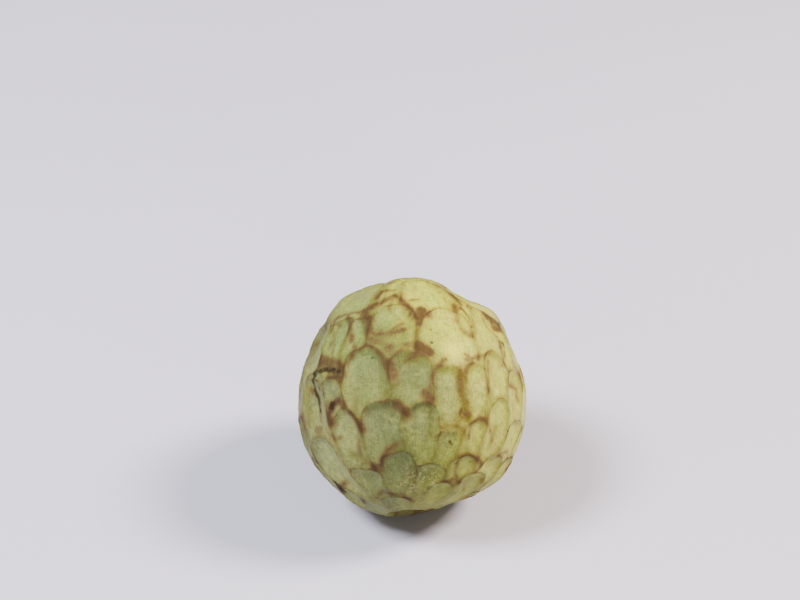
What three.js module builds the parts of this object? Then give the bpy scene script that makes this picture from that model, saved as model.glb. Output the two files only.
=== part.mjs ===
// A custard apple (cherimoya) as picked, about 100 mm across, lying on its shoulder with its tip up
// and back. Millimetres, +Z up, front towards -Y, origin under the middle of the fruit on the table.
//
// The fruit is one solid: a rounded heart whose skin is raised into overlapping scales. Each scale is a
// shallow thumb-print dish with a thin rim, arched on the side of the fruit's tip. The scales stand in
// whorls from the stem to the tip, and the whorl nearer the stem overlaps the next. The stalk is cut
// short in the hollow at the stem end and is a solid of its own.
//
// Places on the skin are given as longitude and latitude in degrees, seen from the middle of the fruit:
// longitude 0 faces the front and grows to the right, latitude -90 is the stem and +90 the tip.

import * as THREE from 'three';
import { mergeVertices } from 'three/addons/utils/BufferGeometryUtils.js';

// ---------- driving dimensions: millimetres and degrees ----------

// The body under the scales, as distances from the middle of the fruit.
const GIRTH_RADIUS = 49.7;
const STEM_FULLNESS = 2.4; // the stem half swells and the tip half narrows by half of this
const END_REACH = 1.4; // the stem and the tip stand this much further out than the girth
const SWELLINGS = [ // slow hills and hollows that make this fruit uneven
  { lon: 180, lat: 58, height: 2.4, spread: 30 },
  { lon: 68, lat: 58, height: -3.3, spread: 13 },
  { lon: 82, lat: 46, height: 2.6, spread: 12 },
  { lon: -72, lat: 50, height: 2.4, spread: 12 },
  { lon: 86, lat: 28, height: -1.2, spread: 18 },
  { lon: -94, lat: -28, height: 1.0, spread: 18 },
  { lon: -118, lat: -70, height: 2.2, spread: 24 },
  { lon: 119, lat: -67, height: -2.3, spread: 18 },
  { lon: 99, lat: -45, height: 1.4, spread: 13 },
  { lon: -20, lat: -80, height: 0.6, spread: 20 },
];

// The hollow at the stem: a flat floor square to the axis, and a rim where it meets the body.
const HOLLOW_FLOOR = 45; // from the middle of the fruit
const HOLLOW_FLOOR_EDGE = 6; // degrees from the stem axis
const HOLLOW_RIM = 12;

// Whorls of scales from the stem to the tip. A placed scale is [longitude, latitude, half width, arch]
// of the top of its arch: 2 is a round arch, less is pointed and more is square. The rest of a whorl
// is spread over what the placed ones leave free.
const WHORLS = [
  { lat: -78, count: 6, placed: [[20, -79, 11, 2]] },
  { lat: -57, count: 13, placed: [
    [-80, -53, 14, 2.2], [-21, -63, 17, 2.2], [27, -54, 11, 2], [42, -56, 8, 2], [52, -45, 11, 2]] },
  { lat: -36, count: 16, placed: [
    [-63, -25, 12, 2.2], [-37, -43, 15, 2], [-8, -35, 10, 2.2], [9, -42, 15, 2], [34, -37, 9, 2],
    [61, -33, 11, 2]] },
  { lat: -13, count: 19, placed: [
    [-61, 4, 10, 2], [-37, -15, 10, 2], [-14, -12, 11, 2.4], [5, -13, 10, 2.2], [20, -24, 9, 2.4],
    [36, -18, 8, 2], [49, -9, 8, 2]] },
  { lat: 11, count: 20, placed: [
    [-44, 2, 9, 2], [-23, 15, 13, 2], [-1, 12, 13, 1.8], [16, 6, 9, 2.6], [33, 9, 9, 2], [46, 15, 9, 2]] },
  { lat: 37, count: 15, placed: [
    [-45, 35, 9, 2], [-31, 34, 9, 2], [-12, 43, 17, 1.5], [19, 39, 18, 1.9], [51, 44, 18, 2]] },
  { lat: 60, count: 10, placed: [[-50, 68, 26, 2], [8, 70, 24, 2], [64, 65, 20, 2]] },
  { lat: 78, count: 5, placed: [[150, 76, 30, 2]] },
  { lat: 88, count: 1, placed: [[150, 88, 30, 2]] },
];
const LAYOUT_SEED = 7;
const LON_JITTER = 0.35; // of the step between two scales of a whorl
const LAT_JITTER = 8;
const WIDTH_SHARE = [0.5, 0.62]; // half width of a scale, of the step
const ARCH_RANGE = [1.7, 2.5];
const DEPTH_RANGE = [0.8, 1.2];
const POLE_CROWDING = 75; // past this latitude the scales no longer get narrower

// One scale: a dish inside a thin rim.
const PATTERN_RADIUS = 50; // sphere on which the scales are laid out
const FLANK_FLARE = 0.25; // how fast a scale widens below its arch
const TAIL_REACH = 4.5; // how far below its shoulders a scale may show, in half widths
const BESIDE_POLE = 0.5; // a tail ends this far short of the stem axis
const SAME_SIDE = 0.35; // cosine of the angle from its tip past which a scale isn't looked for
const OUT_OF_REACH = 9;
const DISH_DEPTH = 1.5;
const ARCH_WALL = 0.42; // width of the sloping wall at the arch, of the scale's half width
const FLANK_WALL = 0.62; // and at the flanks
const ARCH_BEGINS = [-0.6, 0.3]; // where flank turns into arch, in half widths above the shoulders
const USUAL_HALF_WIDTH = 9; // a scale of this half width has DISH_DEPTH
const SIZE_RANGE = [0.5, 1.3]; // narrower and wider scales are shallower and deeper, within this
const TAIL_DEPTH = 0.45; // of the full depth, where the scale runs under the next whorl
const TAIL_LENGTH = 2.2; // where that is, in half widths below the shoulders of the arch
const ARCH_LENGTH = 0.4; // and where the dish has its full depth, above them
const RIM_HEIGHT = 0.3;
const RIM_WIDTH = 0.9;
const FLANK_RIM = 0.2; // height of the rim along the flanks, of that along the arch
const CORNER_SHARPNESS = 1.4; // how tight the rims round off where they meet, per mm

// The rims waver a little: the pattern is looked up at a direction that sine waves shift along each
// axis. A row has the slow wave's two rates and start, then the quick wave's two rates.
const WANDER = [0.016, 0.011]; // of the slow and the quick waves, of the body's radius
const WANDER_WAVES = [[9, 2, 1, -9, 23], [8, 3, 2, 11, 21], [10, 3, 3, -8, 25]];

// How the fruit lies.
const AXIS_TILT = 45; // from upright, tip to the back
const MIDDLE = new THREE.Vector3(0.2, 0.1, 50.1);
const REST_SPOT = { lon: 180, lat: -45 }; // straight below the middle
const SMOOTH_NEAR_REST = [15, 24]; // the scales fade out between these angles from it

// The stalk: radius and height over its foot, from the foot to the slanting cut.
const STALK_GAP = 0.3;
const STALK_PROFILE = [[3.4, 0], [3.7, 0.6], [3.4, 1.3], [2.8, 2.0], [2.6, 3.3], [2.7, 3.9], [2.4, 4.2]];
const STALK_SIDES = 18;
const STALK_RIDGES = 5;
const RIDGE_HEIGHT = 0.05; // of the radius
const RIDGES_FULL = 2; // height over the foot from which the ridges are full
const CUT_SLOPE = 0.04; // rise of the cut per mm across, of the height

// The mesh of the skin.
const SKIN_DETAIL = 22; // 20 * (detail + 1)^2 triangles
const RIM_SNAP = 0.9; // a vertex this near to a rim is slid on to it
const PROBE = 0.002; // step for the slope of the rim distance, in radians
const LEAST_SLOPE = 0.5; // of that distance, in mm per mm, for a vertex to be slid
const SAME_POINT = 1e-4; // vertices nearer to each other than this are one

const SKIN_COLOR = '#b6b37a';
const SKIN_ROUGHNESS = 0.6;
const STALK_COLOR = '#6b5138';
const STALK_ROUGHNESS = 0.9;

// ---------- small helpers ----------

const radians = THREE.MathUtils.degToRad;
const clamp = THREE.MathUtils.clamp;
const smooth = (t) => THREE.MathUtils.smoothstep(t, 0, 1);
const between = ([low, high], t) => low + (high - low) * t;

function directionAt(lon, lat) {
  const across = Math.cos(radians(lat));
  return new THREE.Vector3(
    across * Math.sin(radians(lon)), -across * Math.cos(radians(lon)), Math.sin(radians(lat)));
}

function seededDraw(seed) {
  let state = seed;
  return () => {
    state = (state * 16807) % 2147483647;
    return state / 2147483647;
  };
}

// ---------- where the scales are ----------

function makeScale([lon, lat, halfWidthDeg, arch], whorl, depth) {
  const tip = directionAt(lon, lat);
  const north = directionAt(lon, lat + 90);
  const crowding = Math.cos(radians(Math.min(Math.abs(lat), POLE_CROWDING)));
  const halfWidth = PATTERN_RADIUS * radians(halfWidthDeg) * crowding;
  const toStem = halfWidth - PATTERN_RADIUS * Math.sin(radians(90 + lat));
  const floor = Math.max(-TAIL_REACH * halfWidth, lat < 0 ? toStem - BESIDE_POLE : -Infinity);
  return { tip, north, east: north.clone().cross(tip), halfWidth, arch, depth, whorl, floor };
}

function layOutScales() {
  const draw = seededDraw(LAYOUT_SEED);
  const scales = [];
  WHORLS.forEach(({ lat, count, placed }, whorl) => {
    const first = placed[0][0];
    const last = placed[placed.length - 1][0];
    const missing = count - placed.length;
    const step = (360 - (last - first)) / (missing + 1);
    const whole = [...placed];
    for (let i = 1; i <= missing; i += 1) {
      const lon = last + step * (i + (draw() - 0.5) * LON_JITTER);
      const tipLat = lat + (draw() - 0.5) * LAT_JITTER;
      whole.push([lon, tipLat, step * between(WIDTH_SHARE, draw()), between(ARCH_RANGE, draw())]);
    }
    whole.forEach((place) => scales.push(makeScale(place, whorl, between(DEPTH_RANGE, draw()))));
  });
  return scales;
}

const SCALES = layOutScales();

function wander(direction) {
  const [slow, quick] = WANDER;
  const at = direction.toArray();
  const shift = WANDER_WAVES.map(([before, after, start, quickBefore, quickAfter], axis) => {
    const [previous, next] = [at[(axis + 2) % 3], at[(axis + 1) % 3]];
    return slow * Math.sin(before * previous + after * next + start)
      + quick * Math.sin(quickBefore * previous + quickAfter * next);
  });
  return direction.clone().add(new THREE.Vector3(...shift)).normalize();
}

// How far out a direction is in one scale: below 1 inside its outline, 1 on it. "along" is the place
// from the shoulders towards the arch, in half widths.
function placeInScale(scale, direction) {
  const across = PATTERN_RADIUS * Math.abs(direction.dot(scale.east)) / scale.halfWidth;
  const along = PATTERN_RADIUS * direction.dot(scale.north) / scale.halfWidth + 1;
  if (direction.dot(scale.tip) < SAME_SIDE || along * scale.halfWidth < scale.floor) {
    return { out: OUT_OF_REACH, along };
  }
  if (along < 0) {
    return { out: across / (1 - FLANK_FLARE * along), along };
  }
  return { out: (across ** scale.arch + along ** scale.arch) ** (1 / scale.arch), along };
}

// Of the scales that a direction lies in, the one in the whorl nearest the stem shows. Where it lies in
// none, the nearest scale does.
function rankOf({ scale, out }) {
  return out < 1 ? scale.whorl + out : WHORLS.length + out;
}

// The scale that shows, and the distance to the nearest rim, rounded off where rims meet. Two scales
// of one whorl meet halfway between their outlines.
function skinPattern(direction) {
  const at = wander(direction);
  const places = SCALES.map((scale) => ({ scale, ...placeInScale(scale, at) }));
  const shown = places.reduce((best, next) => (rankOf(next) < rankOf(best) ? next : best));
  const loose = shown.out >= 1;
  let crowd = loose ? 0 : Math.exp(-CORNER_SHARPNESS * (1 - shown.out) * shown.scale.halfWidth);
  places.forEach((other) => {
    if (other === shown || other.out === OUT_OF_REACH) return;
    let away = Infinity;
    if (loose || other.scale.whorl === shown.scale.whorl) {
      away = (other.out - shown.out) * shown.scale.halfWidth / 2;
    } else if (other.scale.whorl < shown.scale.whorl) {
      away = (other.out - 1) * other.scale.halfWidth;
    }
    crowd += Math.exp(-CORNER_SHARPNESS * Math.max(away, 0));
  });
  return { scale: shown.scale, along: shown.along, edge: Math.max(0, -Math.log(crowd) / CORNER_SHARPNESS) };
}

// ---------- the skin ----------

function bodyRadius(direction) {
  const toTip = direction.z;
  const across = Math.sqrt(1 - Math.min(1, toTip * toTip));
  let radius = GIRTH_RADIUS - STEM_FULLNESS * toTip * across + END_REACH * toTip * toTip;
  SWELLINGS.forEach(({ lon, lat, height, spread }) => {
    const angle = directionAt(lon, lat).angleTo(direction);
    radius += height * Math.exp(-((angle / radians(spread)) ** 2));
  });
  return radius;
}

function scaleRelief(direction) {
  const { scale, along, edge } = skinPattern(direction);
  const size = clamp(scale.halfWidth / USUAL_HALF_WIDTH, ...SIZE_RANGE);
  const inArch = THREE.MathUtils.smoothstep(along, ...ARCH_BEGINS);
  const wall = smooth(edge / (scale.halfWidth * between([FLANK_WALL, ARCH_WALL], inArch)));
  const run = TAIL_DEPTH + (1 - TAIL_DEPTH) * smooth((along + TAIL_LENGTH) / (TAIL_LENGTH + ARCH_LENGTH));
  const rim = RIM_HEIGHT * Math.exp(-((edge / RIM_WIDTH) ** 2)) * between([FLANK_RIM, 1], inArch);
  return rim - DISH_DEPTH * scale.depth * size * wall * run;
}

const restDirection = directionAt(REST_SPOT.lon, REST_SPOT.lat);
const stemDirection = directionAt(0, -90);

function skinRadius(direction) {
  const [smoothWithin, fullBeyond] = SMOOTH_NEAR_REST.map(radians);
  const fromRest = direction.angleTo(restDirection);
  const shown = smooth((fromRest - smoothWithin) / (fullBeyond - smoothWithin));
  const outside = bodyRadius(direction) + shown * scaleRelief(direction);
  const fromStem = direction.angleTo(stemDirection);
  if (fromStem >= radians(HOLLOW_RIM)) return outside;
  const floor = HOLLOW_FLOOR / Math.cos(fromStem);
  const rise = smooth((fromStem - radians(HOLLOW_FLOOR_EDGE)) / radians(HOLLOW_RIM - HOLLOW_FLOOR_EDGE));
  return floor + (outside - floor) * rise;
}

// A direction close to a rim moves on to it, so that the net of rims stays sharp on a coarse mesh.
function snapToRim(direction) {
  const { edge } = skinPattern(direction);
  if (edge > RIM_SNAP) return direction;
  const right = new THREE.Vector3(1, 0, 0).cross(direction);
  if (Math.abs(direction.x) > Math.abs(direction.y)) right.set(0, 1, 0).cross(direction);
  right.normalize();
  const up = direction.clone().cross(right);
  const slope = [right, up].map((side) => (
    skinPattern(direction.clone().addScaledVector(side, PROBE).normalize()).edge - edge) / PROBE);
  const steepness = Math.hypot(...slope);
  if (steepness < LEAST_SLOPE * PATTERN_RADIUS) return direction;
  const back = -Math.min(edge / steepness, RIM_SNAP / PATTERN_RADIUS) / steepness;
  return direction.clone().addScaledVector(right, back * slope[0]).addScaledVector(up, back * slope[1])
    .normalize();
}

const lying = new THREE.Matrix4().makeRotationX(-radians(AXIS_TILT)).setPosition(MIDDLE);

function makeFruit() {
  const ball = new THREE.IcosahedronGeometry(1, SKIN_DETAIL);
  ball.deleteAttribute('normal');
  ball.deleteAttribute('uv');
  const geometry = mergeVertices(ball, SAME_POINT);
  const position = geometry.getAttribute('position');
  const point = new THREE.Vector3();
  for (let i = 0; i < position.count; i += 1) {
    point.copy(snapToRim(point.fromBufferAttribute(position, i).normalize()));
    point.multiplyScalar(skinRadius(point)).applyMatrix4(lying);
    point.z = Math.max(point.z, 0); // the spot that it rests on is pressed flat
    position.setXYZ(i, point.x, point.y, point.z);
  }
  geometry.computeVertexNormals();
  const skin = new THREE.MeshStandardMaterial({ color: SKIN_COLOR, roughness: SKIN_ROUGHNESS });
  const fruit = new THREE.Mesh(geometry, skin);
  fruit.name = 'fruit';
  return fruit;
}

// ---------- the stalk ----------

function makeStalk() {
  const profile = [[0, 0], ...STALK_PROFILE, [0, STALK_PROFILE[STALK_PROFILE.length - 1][1]]]
    .map(([radius, height]) => new THREE.Vector2(radius, height));
  const turned = new THREE.LatheGeometry(profile, STALK_SIDES);
  turned.deleteAttribute('normal');
  turned.deleteAttribute('uv');
  const geometry = mergeVertices(turned, SAME_POINT);
  const position = geometry.getAttribute('position');
  for (let i = 0; i < position.count; i += 1) {
    const [x, y, z] = [position.getX(i), position.getY(i), position.getZ(i)];
    const ridge = 1 + RIDGE_HEIGHT * Math.sin(STALK_RIDGES * Math.atan2(z, x)) * Math.min(1, y / RIDGES_FULL);
    position.setXYZ(i, x * ridge, y * (1 + CUT_SLOPE * x), z * ridge);
  }
  // The lathe turns about +Y, and the stalk points along the fruit's stem axis.
  geometry.rotateX(-Math.PI / 2);
  geometry.translate(0, 0, -(HOLLOW_FLOOR + STALK_GAP));
  geometry.computeVertexNormals();
  const wood = new THREE.MeshStandardMaterial({ color: STALK_COLOR, roughness: STALK_ROUGHNESS });
  const stalk = new THREE.Mesh(geometry, wood);
  stalk.name = 'stem_stub';
  stalk.applyMatrix4(lying);
  return stalk;
}

const custardApple = new THREE.Group();
custardApple.name = 'custard_apple';
custardApple.add(makeFruit(), makeStalk());

export default custardApple;
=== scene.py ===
"""A custard apple as picked, lying on its shoulder on a pale table. Metres, +Z up, front towards -Y."""

import math
from types import SimpleNamespace

import bpy
import numpy as np
from mathutils import Euler, Matrix, Vector


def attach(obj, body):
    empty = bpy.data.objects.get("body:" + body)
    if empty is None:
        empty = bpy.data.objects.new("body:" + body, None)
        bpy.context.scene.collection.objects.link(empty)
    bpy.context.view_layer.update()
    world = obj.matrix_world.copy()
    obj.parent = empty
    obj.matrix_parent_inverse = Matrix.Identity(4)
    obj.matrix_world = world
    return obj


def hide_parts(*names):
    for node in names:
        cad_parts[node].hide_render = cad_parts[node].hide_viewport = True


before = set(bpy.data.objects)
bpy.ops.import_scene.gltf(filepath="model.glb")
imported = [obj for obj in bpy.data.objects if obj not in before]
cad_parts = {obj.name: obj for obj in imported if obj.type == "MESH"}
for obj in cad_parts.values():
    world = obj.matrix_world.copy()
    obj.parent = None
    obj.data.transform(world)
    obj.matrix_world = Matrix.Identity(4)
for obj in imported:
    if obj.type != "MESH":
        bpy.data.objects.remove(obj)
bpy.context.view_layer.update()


# ---------- The fruit ----------
# One thick soft skin over the flesh, with no seam, grown as a coat of overlapping scales. Its form is a
# rounded heart with slow swellings, a hollow at the stem and a flat spot where it lies. Each scale is a
# shallow dish with a thin rim.

# Sizes on the fruit are in millimetres. A place on it is a longitude and a latitude in degrees:
# longitude 0 faces the front and grows to the right, latitude -90 is the stem and +90 the tip.
PATTERN_RADIUS = 50  # of the sphere on which the scales are laid out
STEM = (0, -90)
TIP = (0, 90)

# Whorls of scales from the stem to the tip, and the whorl nearer the stem overlaps the next. A whorl is
# (latitude, number of scales, placed scales). A placed scale is (longitude, latitude, half width in
# degrees, arch) of the top of its arch: 2 is a round arch, less is pointed and more is square. The rest
# of a whorl is spread over what the placed ones leave free.
WHORLS = [
    (-78, 6, [(20, -79, 11, 2)]),
    (-57, 13, [(-80, -53, 14, 2.2), (-21, -63, 17, 2.2), (27, -54, 11, 2), (42, -56, 8, 2),
               (52, -45, 11, 2)]),
    (-36, 16, [(-63, -25, 12, 2.2), (-37, -43, 15, 2), (-8, -35, 10, 2.2), (9, -42, 15, 2),
               (34, -37, 9, 2), (61, -33, 11, 2)]),
    (-13, 19, [(-61, 4, 10, 2), (-37, -15, 10, 2), (-14, -12, 11, 2.4), (5, -13, 10, 2.2),
               (20, -24, 9, 2.4), (36, -18, 8, 2), (49, -9, 8, 2)]),
    (11, 20, [(-44, 2, 9, 2), (-23, 15, 13, 2), (-1, 12, 13, 1.8), (16, 6, 9, 2.6), (33, 9, 9, 2),
              (46, 15, 9, 2)]),
    (37, 15, [(-45, 35, 9, 2), (-31, 34, 9, 2), (-12, 43, 17, 1.5), (19, 39, 18, 1.9), (51, 44, 18, 2)]),
    (60, 10, [(-50, 68, 26, 2), (8, 70, 24, 2), (64, 65, 20, 2)]),
    (78, 5, [(150, 76, 30, 2)]),
    (88, 1, [(150, 88, 30, 2)]),
]
LAYOUT_SEED = 7
DRAW_FACTOR = 16807  # each draw is the last one times this, counted round the prime
DRAW_PRIME = 2147483647
LON_JITTER = 0.35  # of the step between two scales of a whorl
LAT_JITTER = 8
WIDTH_SHARE = (0.5, 0.62)  # half width of a scale, of the step
ARCH_RANGE = (1.7, 2.5)
DEPTH_RANGE = (0.8, 1.2)
BROWNING_RANGE = (0.4, 1.3)
PLACED_BROWNING = 0.45  # less, because their browning is drawn mark by mark
POLE_CROWDING = 75  # past this latitude the scales no longer get narrower
TAIL_REACH = 4.5  # how far below its shoulders a scale may show, in half widths
PAST_STEM = 0.5  # how far a tail may run past the stem


def direction_at(lon, lat):
    """The unit vector from the middle of the fruit to a place on it."""
    lon, lat = math.radians(lon), math.radians(lat)
    return Vector((math.cos(lat) * math.sin(lon), -math.cos(lat) * math.cos(lon), math.sin(lat)))


def seeded_draws(seed):
    """Endless draws between 0 and 1, always the same ones for a seed."""
    state = seed
    while True:
        state = state * DRAW_FACTOR % DRAW_PRIME
        yield state / DRAW_PRIME


def between(low_high, share):
    low, high = low_high
    return low + (high - low) * share


def places_in_whorl(lat, count, placed, draws):
    """The placed scales of a whorl, and the others spread over the gap that they leave."""
    missing = count - len(placed)
    last_lon = placed[-1][0]
    step = (360 - (last_lon - placed[0][0])) / (missing + 1)
    places = list(placed)
    for i in range(1, missing + 1):
        lon = last_lon + step * (i + (next(draws) - 0.5) * LON_JITTER)
        tip_lat = lat + (next(draws) - 0.5) * LAT_JITTER
        half_width = step * between(WIDTH_SHARE, next(draws))
        places.append((lon, tip_lat, half_width, between(ARCH_RANGE, next(draws))))
    return places


def lay_out_scales():
    draws = seeded_draws(LAYOUT_SEED)
    scales = []
    for whorl, (lat, count, placed) in enumerate(WHORLS):
        places = places_in_whorl(lat, count, placed, draws)
        for number, (lon, tip_lat, half_width, arch) in enumerate(places):
            crowding = math.cos(math.radians(min(abs(tip_lat), POLE_CROWDING)))
            half_width = PATTERN_RADIUS * math.radians(half_width) * crowding
            tail_end = -TAIL_REACH * half_width
            if tip_lat < 0:
                stem = half_width - PATTERN_RADIUS * math.sin(math.radians(90 + tip_lat))
                tail_end = max(tail_end, stem - PAST_STEM)
            tip, north = direction_at(lon, tip_lat), direction_at(lon, tip_lat + 90)
            scales.append({
                "tip": tip,
                "north": north,
                "east": north.cross(tip),
                "half_width": half_width,
                "arch": arch,
                "depth": between(DEPTH_RANGE, next(draws)),
                "whorl": whorl,
                "tail_end": tail_end,
                "by_hand": number < len(placed),
            })
    for scale in scales:
        scale["tone"] = next(draws)
        browning = between(BROWNING_RANGE, next(draws))
        scale["browning"] = PLACED_BROWNING if scale["by_hand"] else browning
    return scales


def put_in_scene(name, data):
    item = bpy.data.objects.new(name, data)
    bpy.context.scene.collection.objects.link(item)
    return item


def note(mesh, name, values):
    """Keeps one number for each point of a mesh, under a name."""
    mesh.attributes.new(name, "FLOAT", "POINT").data.foreach_set("value", values)


def scale_points(scales):
    """One loose point for each scale, at the top of its arch, with the scale's sizes noted on it."""
    mesh = bpy.data.meshes.new("scales")
    mesh.from_pydata([scale["tip"] for scale in scales], [], [])
    for name in ("north", "east"):
        vectors = np.ravel([scale[name] for scale in scales])
        mesh.attributes.new(name, "FLOAT_VECTOR", "POINT").data.foreach_set("vector", vectors)
    for name in ("half_width", "arch", "depth", "whorl", "tail_end", "tone", "browning"):
        note(mesh, name, [float(scale[name]) for scale in scales])
    return put_in_scene("scales", mesh)


# The body under the scales, as distances from the middle of the fruit.
GIRTH_RADIUS = 49.7
STEM_FULLNESS = 2.4  # the stem half swells and the tip half narrows by half of this
END_REACH = 1.4  # the stem and the tip stand this much further out than the girth
SWELLINGS = [  # longitude, latitude, height, spread in degrees
    (180, 58, 2.4, 30), (68, 58, -3.3, 13), (82, 46, 2.6, 12), (-72, 50, 2.4, 12), (86, 28, -1.2, 18),
    (-94, -28, 1.0, 18), (-118, -70, 2.2, 24), (119, -67, -2.3, 18), (99, -45, 1.4, 13), (-20, -80, 0.6, 20),
]
HOLLOW_FLOOR = 45
HOLLOW_FLOOR_EDGE = 6  # degrees from the stem axis
HOLLOW_RIM = 12

# One scale: a dish inside a thin rim.
FLANK_FLARE = 0.25  # how fast a scale widens below its arch
SAME_SIDE = 0.35  # cosine of the angle from its tip past which a scale isn't looked for
OUT_OF_REACH = 9  # counts as this far out, in half widths
NO_SCALE_YET = 1e6
HALF_A_STEP = 0.5  # whole numbers that differ by less are the same
DISH_DEPTH = 1.5
ARCH_WALL = 0.42  # width of the sloping wall at the arch, of the scale's half width
FLANK_WALL = 0.62  # and at the flanks
ARCH_BEGINS = (-0.6, 0.3)  # where flank turns into arch, in half widths above the shoulders
USUAL_HALF_WIDTH = 9  # a scale of this half width has DISH_DEPTH
SIZE_RANGE = (0.5, 1.3)  # narrower and wider scales are shallower and deeper, within this
TAIL_DEPTH = 0.45  # of the full depth, where the scale runs under the next whorl
TAIL_LENGTH = 2.2  # where that is, in half widths below the shoulders of the arch
ARCH_LENGTH = 0.4  # and where the dish has its full depth, above them
RIM_HEIGHT = 0.3
RIM_WIDTH = 0.9
FLANK_RIM = 0.2  # height of the rim along the flanks, of that along the arch
CORNER_SHARPNESS = 1.4  # how tight the rims round off where they meet, per mm
RIPPLES = [(1.6, 4.2), (0.5, 13)]  # swing in millimetres, and number to the body's radius
RIPPLE_INSET = 0.18  # keeps the ripples inside the solid's reach

# The rims waver a little: the pattern is looked up at a direction that sine waves shift along each
# axis. A row has the slow wave's two rates and start, then the quick wave's two rates.
WANDER = (0.016, 0.011)  # of the slow and the quick waves, of the body's radius
WANDER_WAVES = [(9, 2, 1, -9, 23), (8, 3, 2, 11, 21), (10, 3, 3, -8, 25)]

# How the fruit lies, and the mesh of its skin.
MM = 0.001
AXIS_TILT = 45  # from upright, tip to the back
MIDDLE = Vector((0.2, 0.1, 50.1))
REST_SPOT = (180, -45)  # straight below the middle
SMOOTH_NEAR_REST = (15, 24)  # the scales fade out between these angles from it
SKIN_SIDE = 129  # vertices along an edge of the cube that is blown up into the skin

# A Mix node has a pair of sockets for each kind of value, told apart by number alone.
MIX_NUMBERS = (2, 3)
MIX_COLOURS = (6, 7)
MIXED_COLOUR = 2


class Wire:
    """A socket of a node tree. An expression on wires adds the nodes that work it out."""

    def __init__(self, tree, socket):
        self.tree = tree
        self.socket = socket

    @staticmethod
    def add(tree, kind, settings=(), sockets=(), output=0):
        """Adds a node: its settings are set first, then the values or links of its sockets."""
        node = tree.nodes.new(kind)
        for name, value in dict(settings).items():
            setattr(node, name, value)
        for name, value in dict(sockets).items():
            if isinstance(value, Wire):
                value.feed(node, name)
            else:
                node.inputs[name].default_value = value
        return Wire(tree, node.outputs[output])

    def feed(self, node, name):
        self.tree.links.new(self.socket, node.inputs[name])

    def math(self, operation, *others):
        sockets = dict(enumerate((self, *others)))
        return Wire.add(self.tree, "ShaderNodeMath", {"operation": operation}, sockets)

    def __add__(self, other):
        return self.math("ADD", other)

    def __sub__(self, other):
        return self.math("SUBTRACT", other)

    def __rsub__(self, other):
        return (self * -1).math("ADD", other)

    def __mul__(self, other):
        return self.math("MULTIPLY", other)

    def __truediv__(self, other):
        return self.math("DIVIDE", other)

    def __rtruediv__(self, other):
        return (self ** -1).math("MULTIPLY", other)

    def __pow__(self, other):
        return self.math("POWER", other)

    def __abs__(self):
        return self.math("ABSOLUTE")

    def __lt__(self, other):
        return self.math("LESS_THAN", other)

    def __gt__(self, other):
        return self.math("GREATER_THAN", other)

    __radd__ = __add__
    __rmul__ = __mul__

    def exp(self):
        return self.math("EXPONENT")

    def least(self, other):
        return self.math("MINIMUM", other)

    def most(self, other):
        return self.math("MAXIMUM", other)

    def choose(self, when_one, when_zero):
        """Blends two numbers: this wire is 1 for the first and 0 for the second."""
        sockets = {0: self, MIX_NUMBERS[0]: when_zero, MIX_NUMBERS[1]: when_one}
        return Wire.add(self.tree, "ShaderNodeMix", {"clamp_factor": False}, sockets)

    def smooth(self, low=0.0, high=1.0):
        """0 below low and 1 above high, with a soft step between them."""
        return Wire.add(
            self.tree, "ShaderNodeMapRange", {"interpolation_type": "SMOOTHSTEP"},
            {"Value": self, "From Min": low, "From Max": high})

    def vector_math(self, operation, *others, output=0):
        sockets = dict(enumerate((self, *others)))
        return Wire.add(self.tree, "ShaderNodeVectorMath", {"operation": operation}, sockets, output)

    def scaled(self, factor):
        return Wire.add(self.tree, "ShaderNodeVectorMath", {"operation": "SCALE"}, {0: self, "Scale": factor})

    def dot(self, other):
        return self.vector_math("DOT_PRODUCT", other, output="Value")

    def axes(self):
        split = Wire.add(self.tree, "ShaderNodeSeparateXYZ", (), {0: self})
        return [Wire(self.tree, output) for output in split.socket.node.outputs]

    def towards(self, lon, lat):
        """1 where this unit vector points to a place on the fruit, 0 a quarter turn away from it."""
        return self.dot(direction_at(lon, lat))

    def angle_to(self, lon, lat):
        """The angle in degrees between this unit vector and a place on the fruit."""
        return self.towards(lon, lat).math("ARCCOSINE") * (180 / math.pi)


def vector_of(tree, x, y, z):
    return Wire.add(tree, "ShaderNodeCombineXYZ", (), {0: x, 1: y, 2: z})


def noise(tree, at, scale, detail, roughness=0.5):
    sockets = {"Vector": at, "Scale": scale, "Detail": detail, "Roughness": roughness}
    return Wire.add(tree, "ShaderNodeTexNoise", (), sockets)


def named(tree, name, kind="FLOAT"):
    """What was noted under a name on the point that is being worked out."""
    return Wire.add(tree, "GeometryNodeInputNamedAttribute", {"data_type": kind}, {"Name": name})


def store(tree, geometry, name, value, kind="FLOAT"):
    return Wire.add(
        tree, "GeometryNodeStoreNamedAttribute", {"data_type": kind, "domain": "POINT"},
        {"Geometry": geometry, "Name": name, "Value": value})


def of_scale(tree, points, index, name, kind="FLOAT"):
    """What was noted under a name on one of the scales."""
    return Wire.add(
        tree, "GeometryNodeSampleIndex", {"data_type": kind, "domain": "POINT"},
        {"Geometry": points, "Value": named(tree, name, kind), "Index": index})


def wandering(tree, direction):
    """The direction at which the pattern is looked up."""
    x, y, z = direction.axes()
    slow, quick = WANDER
    shift = []
    for (before, after), rates in zip([(z, y), (x, z), (y, x)], WANDER_WAVES):
        slow_before, slow_after, start, quick_before, quick_after = rates
        slow_wave = (before * slow_before + after * slow_after + start).math("SINE")
        quick_wave = (before * quick_before + after * quick_after).math("SINE")
        shift.append(slow_wave * slow + quick_wave * quick)
    return direction.vector_math("ADD", vector_of(tree, *shift)).vector_math("NORMALIZE")


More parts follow.
